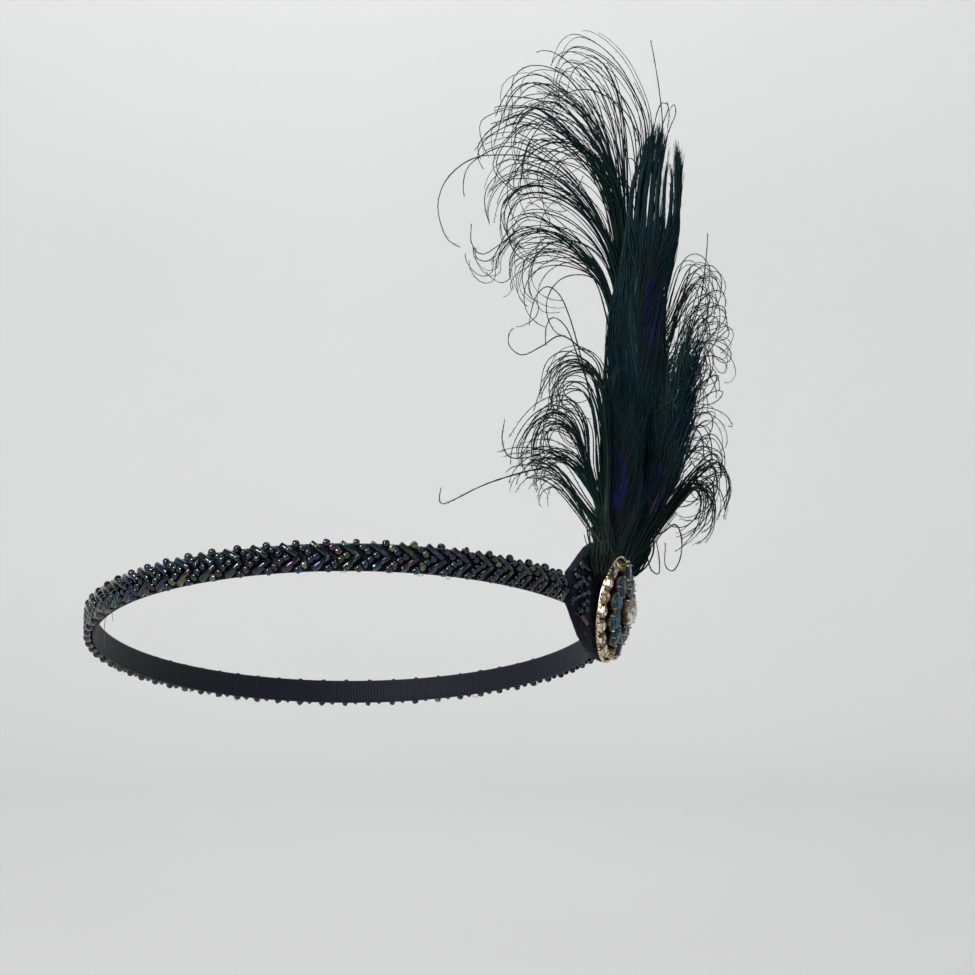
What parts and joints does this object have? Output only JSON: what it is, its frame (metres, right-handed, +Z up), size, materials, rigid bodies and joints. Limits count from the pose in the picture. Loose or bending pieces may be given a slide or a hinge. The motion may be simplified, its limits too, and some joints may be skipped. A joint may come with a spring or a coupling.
{
  "type": "beaded headband with feather plume and brooch",
  "caption": "Headband of herringbone bead trim on ribbon, with a felt pad that carries a jewelled brooch and an eye-feather plume.",
  "frame": {"origin": "middle of the loop that sits round the head", "axes": "+Z up, -Y the way the forehead faces, +X the wearer's left side, where the plume stands"},
  "size_m": [0.1899, 0.1991, 0.2033],
  "materials": {
    "ribbon": "matt dark ribbon",
    "beads": "metallic peacock iris glass beads",
    "felt": "dark navy felt",
    "gold": "polished pale gold plate",
    "crystal": "clear cut crystal",
    "rim_crystal": "clear foiled rhinestone",
    "teal_glass": "cut teal glass",
    "navy_glass": "step cut navy glass",
    "violet_glass": "cut violet glass",
    "feather": "iridescent eye feather",
    "herl": "dark curled herl"
  },
  "bodies": {
    "root": {"ribbon_band": "ribbon", "bead_trim": "beads", "felt_pad": "felt", "brooch_setting": "gold", "centre_crystal": "crystal", "baguette_stone_1": "navy_glass", "small_stone_1": "violet_glass", "baguette_stone_2": "navy_glass", "small_stone_2": "violet_glass", "oval_stone_1": "teal_glass", "oval_stone_2": "teal_glass", "oval_stone_3": "teal_glass", "oval_stone_4": "teal_glass", "oval_stone_5": "teal_glass", "oval_stone_6": "teal_glass", "oval_stone_7": "teal_glass", "oval_stone_8": "teal_glass", "rim_stone_01": "rim_crystal", "rim_stone_02": "rim_crystal", "rim_stone_03": "rim_crystal", "rim_stone_04": "rim_crystal", "rim_stone_05": "rim_crystal", "rim_stone_06": "rim_crystal", "rim_stone_07": "rim_crystal", "rim_stone_08": "rim_crystal", "rim_stone_09": "rim_crystal", "rim_stone_10": "rim_crystal", "rim_stone_11": "rim_crystal", "rim_stone_12": "rim_crystal", "rim_stone_13": "rim_crystal", "rim_stone_14": "rim_crystal", "tall_feather": "feather", "front_feather": "feather", "right_feather": "feather", "upper_curls": "herl", "lower_curls": "herl", "side_curls": "herl"}
  },
  "joints": []
}
